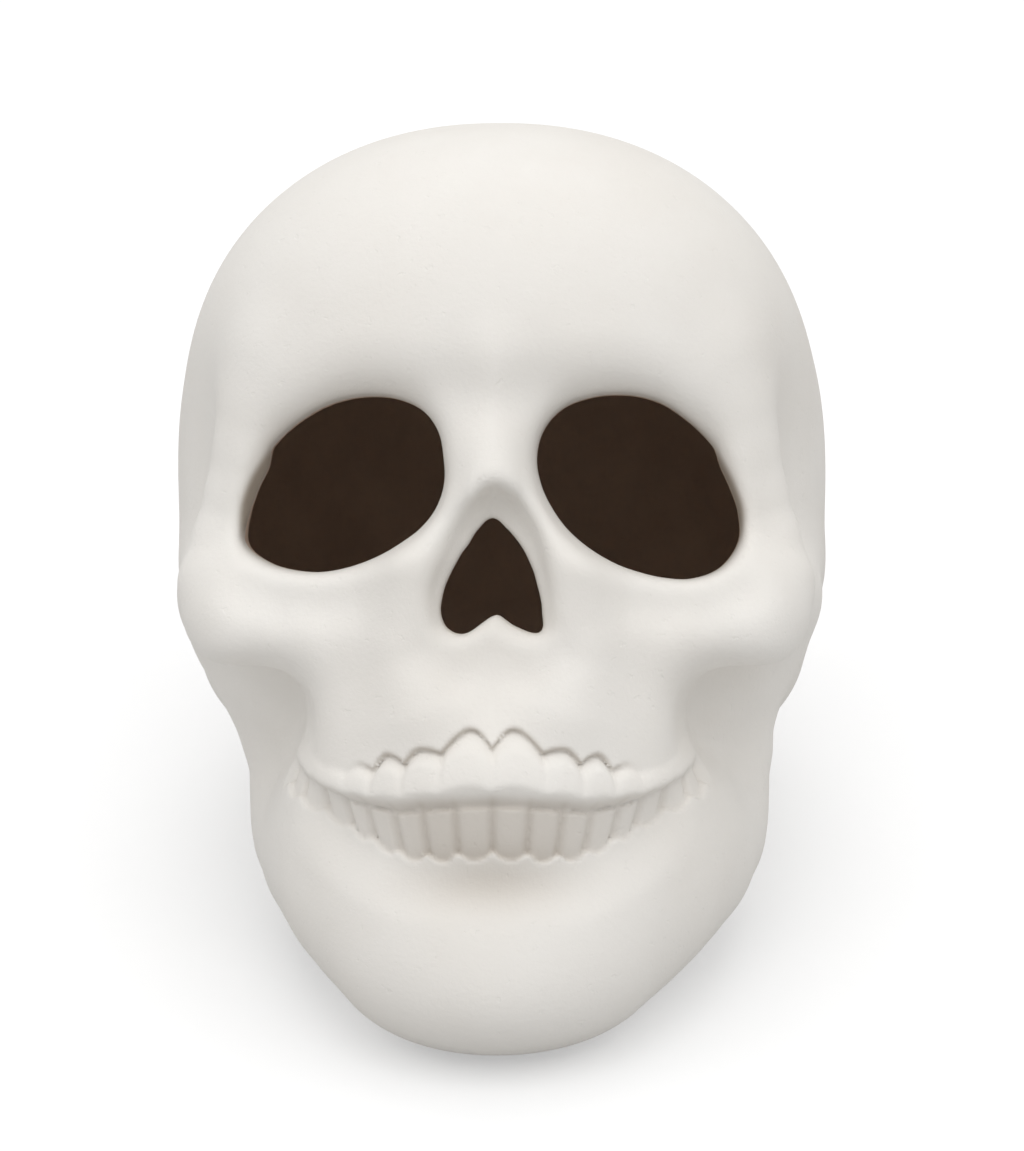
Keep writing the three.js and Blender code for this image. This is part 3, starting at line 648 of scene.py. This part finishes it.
def cell_points(values, axes, cells):
    """For each cell, the middle of the places where the surface crosses its edges."""
    total = np.zeros((len(cells), 3))
    number = np.zeros(len(cells))
    for offset in CORNERS:
        for axis in range(3):
            if offset[axis]:
                continue
            start = cells + offset
            end = start.copy()
            end[:, axis] += 1
            here, there = values[tuple(start.T)], values[tuple(end.T)]
            crossed = (here < 0) != (there < 0)
            t = here / np.where(crossed, here - there, 1)
            point = np.stack([axes[n][start[:, n]] for n in range(3)], 1)
            point[:, axis] += t * (axes[axis][end[:, axis]] - axes[axis][start[:, axis]])
            total += point * crossed[:, None]
            number += crossed
    return total / number[:, None]


def edge_quads(clay, index):
    """A quad of the points of four cells round each grid edge that the surface crosses."""
    quads = []
    for axis in range(3):
        u, v = (axis + 1) % 3, (axis + 2) % 3
        first, second = [slice(None)] * 3, [slice(None)] * 3
        first[axis], second[axis] = slice(0, -1), slice(1, None)
        here = clay[tuple(first)]
        edge = np.argwhere(here != clay[tuple(second)])
        du, dv = np.eye(3, dtype=int)[u], np.eye(3, dtype=int)[v]
        ring = np.stack([index[tuple((edge - step).T)] for step in (du + dv, dv, 0 * du, du)], 1)
        outward = here[tuple(edge.T)]
        ring[~outward] = ring[~outward][:, ::-1]
        quads.append(ring)
    return np.concatenate(quads)


def skin(field, axes):
    """One point in each grid cell that the surface passes, and the quads between them."""
    values = sampled(field, axes)
    clay = values < 0
    shape = [n - 1 for n in values.shape]
    count = np.zeros(shape, np.int8)
    for offset in CORNERS:
        count += clay[tuple(slice(o, n + o) for o, n in zip(offset, shape))]
    active = (count > 0) & (count < len(CORNERS))
    cells = np.argwhere(active)
    index = np.full(shape, -1)
    index[active] = np.arange(len(cells))
    return cell_points(values, axes, cells), edge_quads(clay, index)


SETTLE_ROUNDS = 2
SETTLE_REACH = 0.05 * MM
SETTLE_LIMIT = 0.4 * MM
LEAST_SLOPE = 0.5


def settle(field, points):
    """Moves points onto the surface along its slope."""
    for _ in range(SETTLE_ROUNDS):
        rises = [
            (field(*(points + step).T) - field(*(points - step).T)) / (2 * SETTLE_REACH)
            for step in np.eye(3) * SETTLE_REACH
        ]
        slope = np.stack(rises, 1)
        steepness = np.maximum((slope**2).sum(1), LEAST_SLOPE**2)
        move = -field(*points.T)[:, None] * slope / steepness[:, None]
        length = np.linalg.norm(move, axis=1)[:, None]
        points = points + move * np.minimum(1, SETTLE_LIMIT / np.maximum(length, TINY))
    return points


# The grid is finest over the teeth, fine over the face and wide over the smooth vault
TEETH_BREADTH_SHARE = 0.6
TEETH_TOP_SHARE = -0.29
TEETH_FOOT_SHARE = -0.61
FACE_BACK_SHARE = -0.3
FACE_TOP_SHARE = 0.5


def step_across(at):
    return TOOTH_STEP if abs(at) < TEETH_BREADTH_SHARE * HALF[0] else FACE_STEP


def step_back(at):
    return FACE_STEP if at < FACE_BACK_SHARE * HALF[1] else BACK_STEP


def step_up(at):
    if TEETH_FOOT_SHARE * HALF[2] < at < TEETH_TOP_SHARE * HALF[2]:
        return TOOTH_STEP
    return FACE_STEP if at < FACE_TOP_SHARE * HALF[2] else BACK_STEP


def skull_mesh():
    """The points as sculpted and as they stand, the quads, and how far back the skull was moved."""
    low, high = -HALF - GRID_MARGIN, HALF + GRID_MARGIN
    axes = [
        grid_lines(low[0], high[0], step_across),
        grid_lines(low[1], high[1], step_back),
        grid_lines(low[2], high[2], step_up),
    ]
    points, quads = skin(casting, axes)
    points = settle(casting, points)
    back, up = upright(points[:, 1], points[:, 2])
    back_middle = (back.min() + back.max()) / 2
    frame_middle = (shell_low.y + shell_high.y) / 2
    stood = np.stack([points[:, 0], back - back_middle + frame_middle, up - REST_LEVEL + shell_low.z], 1)
    return points, stood, quads, back_middle - frame_middle


# Materials
def shader(name, roughness):
    """A material with a principled shader and the coordinates of the object in metres."""
    material = bpy.data.materials.new(name)
    material.use_nodes = True
    nodes = material.node_tree.nodes
    principled = nodes["Principled BSDF"]
    principled.inputs["Roughness"].default_value = roughness
    places = nodes.new("ShaderNodeTexCoord").outputs["Object"]
    return material, principled, places


def noise(material, places, scale, detail, roughness=0.5):
    node = material.node_tree.nodes.new("ShaderNodeTexNoise")
    node.inputs["Scale"].default_value = scale
    node.inputs["Detail"].default_value = detail
    node.inputs["Roughness"].default_value = roughness
    material.node_tree.links.new(places, node.inputs["Vector"])
    return node.outputs["Fac"]


def ramp(material, value, stops):
    node = material.node_tree.nodes.new("ShaderNodeValToRGB")
    elements = node.color_ramp.elements
    while len(elements) < len(stops):
        elements.new(1)
    for element, (position, colour) in zip(elements, stops):
        element.position = position
        element.color = (*colour, 1)
    material.node_tree.links.new(value, node.inputs["Fac"])
    return node.outputs["Color"]


def tinted(material, share, colour, tint):
    """The colour where the share is 0, and the tint where it is 1."""
    node = material.node_tree.nodes.new("ShaderNodeMix")
    node.data_type = "RGBA"
    factor, _, _, _, _, _, first, second = node.inputs[:8]
    second.default_value = (*tint, 1)
    material.node_tree.links.new(share, factor)
    material.node_tree.links.new(colour, first)
    return node.outputs[2]


def bump(material, height, distance, strength, below=None):
    node = material.node_tree.nodes.new("ShaderNodeBump")
    node.inputs["Distance"].default_value = distance
    node.inputs["Strength"].default_value = strength
    material.node_tree.links.new(height, node.inputs["Height"])
    if below is not None:
        material.node_tree.links.new(below, node.inputs["Normal"])
    return node.outputs["Normal"]


# Painted shade: the bisque is tinted towards this brown by each point's share of painted shade, round the
# teeth, under the lip and in the hole rims
PAINTED_SHADE_LAYER = "painted_shade"
PAINTED_SHADE_COLOUR = (0.40, 0.34, 0.275)
BISQUE_COLOURS = ((0.80, 0.77, 0.725), (0.83, 0.805, 0.765))
# The inside's brown, darker than the bisque, is painted shade of the hollow
INSIDE_PAINTED_SHADE_COLOURS = ((0.66, 0.52, 0.42), (0.75, 0.60, 0.48))
FELT_COLOURS = ((0.50, 0.47, 0.42), (0.68, 0.65, 0.60))
PORE_DEPTH = 0.3 * MM
FIBRE_DEPTH = 0.5 * MM
BLACK, WHITE = (0, 0, 0), (1, 1, 1)


def clouded(material, value, low, high, colours):
    """The first colour up to the low value of a noise, the second from the high one."""
    return ramp(material, value, [(low, colours[0]), (high, colours[1])])


def bisque_material():
    """Chalky unglazed ceramic: warm white, faintly clouded, with fine pores, and darkened by painted shade
    in its recesses.
    """
    material, principled, places = shader("bisque", 0.9)
    links = material.node_tree.links
    clouds = noise(material, places, scale=26, detail=4)
    clean = clouded(material, clouds, 0.35, 0.65, BISQUE_COLOURS)
    painted_shade = material.node_tree.nodes.new("ShaderNodeAttribute")
    painted_shade.attribute_name = PAINTED_SHADE_LAYER
    # Painted shade: the clean colour is tinted brown by the painted shade layer
    links.new(tinted(material, painted_shade.outputs["Fac"], clean, PAINTED_SHADE_COLOUR), principled.inputs["Base Color"])
    grain = noise(material, places, scale=900, detail=3, roughness=0.6)
    pores = noise(material, places, scale=420, detail=2)
    pitted = clouded(material, pores, 0.26, 0.33, (BLACK, WHITE))
    grained = bump(material, grain, PORE_DEPTH, strength=0.35)
    links.new(bump(material, pitted, PORE_DEPTH, strength=0.25, below=grained), principled.inputs["Normal"])
    principled.inputs["Specular IOR Level"].default_value = 0.25
    return material


def inside_painted_shade_material():
    """The inside of the casting: light brown as painted shade of the hollow, which turns dark in its depth.
    """
    material, principled, places = shader("inside", 0.95)
    links = material.node_tree.links
    clouds = noise(material, places, scale=40, detail=3)
    links.new(clouded(material, clouds, 0.3, 0.7, INSIDE_PAINTED_SHADE_COLOURS), principled.inputs["Base Color"])
    principled.inputs["Specular IOR Level"].default_value = 0.1
    return material


def felt_material():
    """Felt: flecked grey brown, with short fibres and a little sheen."""
    material, principled, places = shader("felt", 1.0)
    links = material.node_tree.links
    fibres = noise(material, places, scale=1400, detail=4, roughness=0.7)
    links.new(clouded(material, fibres, 0.3, 0.7, FELT_COLOURS), principled.inputs["Base Color"])
    links.new(bump(material, fibres, FIBRE_DEPTH, strength=0.6), principled.inputs["Normal"])
    principled.inputs["Sheen Weight"].default_value = 0.3
    return material


# Pieces
def new_piece(name, points, faces, materials):
    """An object with a smooth mesh and its materials."""
    mesh = bpy.data.meshes.new(name)
    mesh.from_pydata(points, [], faces)
    mesh.polygons.foreach_set("use_smooth", [True] * len(mesh.polygons))
    for material in materials:
        mesh.materials.append(material)
    piece = bpy.data.objects.new(name, mesh)
    bpy.context.scene.collection.objects.link(piece)
    return piece


def takes_inside_shade(sculpted, stood, quads):
    """Which quads line the hollow and take its painted shade: deep in the wall and facing in, but not on
    the ground flats.
    """
    middles = sculpted[quads].mean(1)
    outside = skull(*middles.T)
    deep = outside < -WALL / 2
    facing_in = hollow(outside, *middles.T) > -CUT_ROUNDING / 4
    over_flats = stood[quads].mean(1)[:, 2] > shell_low.z + MM
    return deep & facing_in & over_flats


def add_skull():
    """The casting with its inside in painted shade and its layer of painted shade. Returns how far back it
    was moved.
    """
    sculpted, stood, quads, back_shift = skull_mesh()
    piece = new_piece("skull", stood.tolist(), quads.tolist(), [bisque_material(), inside_painted_shade_material()])
    # The quads lining the hollow take the brown of the inside material, painted shade
    inside = takes_inside_shade(sculpted, stood, quads)
    piece.data.polygons.foreach_set("material_index", inside.astype(np.int32))
    # Each point's share of painted shade, read by the bisque material
    layer = piece.data.attributes.new(PAINTED_SHADE_LAYER, "FLOAT", "POINT")
    layer.data.foreach_set("value", painted_shading(*sculpted.T))
    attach(piece, "root")
    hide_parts("skull_shell")
    return back_shift


PAD_STEPS = 64
PAD_RINGS = 7
PAD_EDGE_SHARE = 0.6


def pad_faces():
    """A fan of the first point, bands between the rings, and a fan of the last point."""
    rings = [[1 + r * PAD_STEPS + i for i in range(PAD_STEPS)] for r in range(PAD_RINGS)]
    last = 1 + PAD_RINGS * PAD_STEPS
    faces = []
    for i in range(PAD_STEPS):
        j = (i + 1) % PAD_STEPS
        faces.append((0, rings[0][j], rings[0][i]))
        faces += [(low[i], low[j], high[j], high[i]) for low, high in zip(rings, rings[1:])]
        faces.append((last, rings[-1][i], rings[-1][j]))
    return faces


def add_pad(node, felt):
    """A felt disc with a softly pressed edge."""
    low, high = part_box(node)
    middle, radius = (low + high) / 2, (high.x - low.x) / 2
    edge = (high.z - low.z) / 2
    turns = np.arange(PAD_STEPS) * 2 * math.pi / PAD_STEPS
    points = [(middle.x, middle.y, low.z)]
    for bend in np.linspace(-math.pi / 2, math.pi / 2, PAD_RINGS):
        reach = radius - edge * (1 - math.cos(bend)) * PAD_EDGE_SHARE
        height = middle.z + edge * math.sin(bend)
        points += [(middle.x + reach * math.cos(t), middle.y + reach * math.sin(t), height) for t in turns]
    points.append((middle.x, middle.y, high.z))
    piece = new_piece(node + "_felt", points, pad_faces(), [felt])
    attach(piece, "root")
    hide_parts(node)


# Camera, light and floor
PHOTO_SIZE = (1024, 1151)
FOCAL_PIXELS = 3488
CAMERA_TURN = math.radians(1)
CAMERA_REACH = 800 * MM
CAMERA_SIDESTEP = 2.5 * MM
CAMERA_CLIP = 10 * MM
SENSOR = 36.0


def add_camera(back_shift):
    """The photograph's view: level with the skull before it is tipped, so from above as it stands."""
    data = bpy.data.cameras.new("camera")
    data.sensor_fit = "VERTICAL"
    data.sensor_height = SENSOR
    data.lens = FOCAL_PIXELS * SENSOR / PHOTO_SIZE[1]
    data.clip_start = CAMERA_CLIP
    camera = bpy.data.objects.new("camera", data)
    bpy.context.scene.collection.objects.link(camera)
    turned = Matrix.Rotation(CAMERA_TURN, 3, "Z")
    tipped = Matrix.Rotation(-TILT, 3, "X")
    right, away, over = (tipped @ turned @ Vector(axis) for axis in ((1, 0, 0), (0, 1, 0), (0, 0, 1)))
    start = tipped @ turned @ Vector((CAMERA_SIDESTEP, -CAMERA_REACH, 0))
    start += Vector((0, -back_shift, shell_low.z - REST_LEVEL))
    camera.matrix_world = Matrix.Translation(start) @ Matrix((right, over, -away)).transposed().to_4x4()
    bpy.context.scene.camera = camera


def for_camera(tree, elsewhere, seen):
    """One value where the camera looks straight at it, and another for the light it throws."""
    ray = tree.nodes.new("ShaderNodeLightPath").outputs["Is Camera Ray"]
    node = tree.nodes.new("ShaderNodeMapRange")
    node.inputs["To Min"].default_value = elsewhere
    node.inputs["To Max"].default_value = seen
    tree.links.new(ray, node.inputs["Value"])
    return node.outputs["Result"]


FLOOR_HALF = 4
FLOOR_WHITE = 0.6
FLOOR_BOUNCE = 0.62
FLOOR_GLOW = 0.4


def add_floor():
    """A pale floor that glows a little where it is seen, so that it runs into the background."""
    material, principled, _ = shader("floor", 1.0)
    tree = material.node_tree
    principled.inputs["Specular IOR Level"].default_value = 0
    principled.inputs["Emission Color"].default_value = (*WHITE, 1)
    tree.links.new(for_camera(tree, FLOOR_BOUNCE, FLOOR_WHITE), principled.inputs["Base Color"])
    tree.links.new(for_camera(tree, 0, FLOOR_GLOW), principled.inputs["Emission Strength"])
    corners = [(x * FLOOR_HALF, y * FLOOR_HALF, 0) for x, y in ((-1, -1), (1, -1), (1, 1), (-1, 1))]
    floor = new_piece("floor", corners, [(0, 1, 2, 3)], [material])


# Where each lamp stands, as a direction from the skull, and how strong it is
LAMP_SPREAD = math.radians(45)
LAMPS = (
    ((0, -0.6, 1), 0.8),
    ((0, 0, 1), 0.45),
    ((0, 0.7, 1), 0.48),
    ((-0.9, -0.4, 0.8), 0.42),
    ((0.9, -0.4, 0.8), 0.44),
)


def add_lamp(stand, strength):
    """A wide soft lamp that lights the floor as evenly as the skull."""
    data = bpy.data.lights.new("lamp", "SUN")
    data.energy = strength
    data.angle = LAMP_SPREAD
    lamp = bpy.data.objects.new("lamp", data)
    bpy.context.scene.collection.objects.link(lamp)
    lamp.location = stand
    lamp.rotation_euler = (-lamp.location).to_track_quat("-Z", "Y").to_euler()


WORLD_LIGHT = 0.46
WORLD_SEEN = 1.0


def add_world():
    """An even white studio, dimmer as light than as background."""
    world = bpy.data.worlds.new("studio")
    bpy.context.scene.world = world
    world.use_nodes = True
    tree = world.node_tree
    background = tree.nodes["Background"]
    background.inputs["Color"].default_value = (*WHITE, 1)
    tree.links.new(for_camera(tree, WORLD_LIGHT, WORLD_SEEN), background.inputs["Strength"])


# The scene
back_shift = add_skull()
felt = felt_material()
for node in ("felt_pad_front_left", "felt_pad_front_right", "felt_pad_rear_left", "felt_pad_rear_right"):
    add_pad(node, felt)
add_camera(back_shift)
add_floor()
add_world()
for stand, strength in LAMPS:
    add_lamp(stand, strength)
bpy.context.scene.view_settings.view_transform = "Standard"
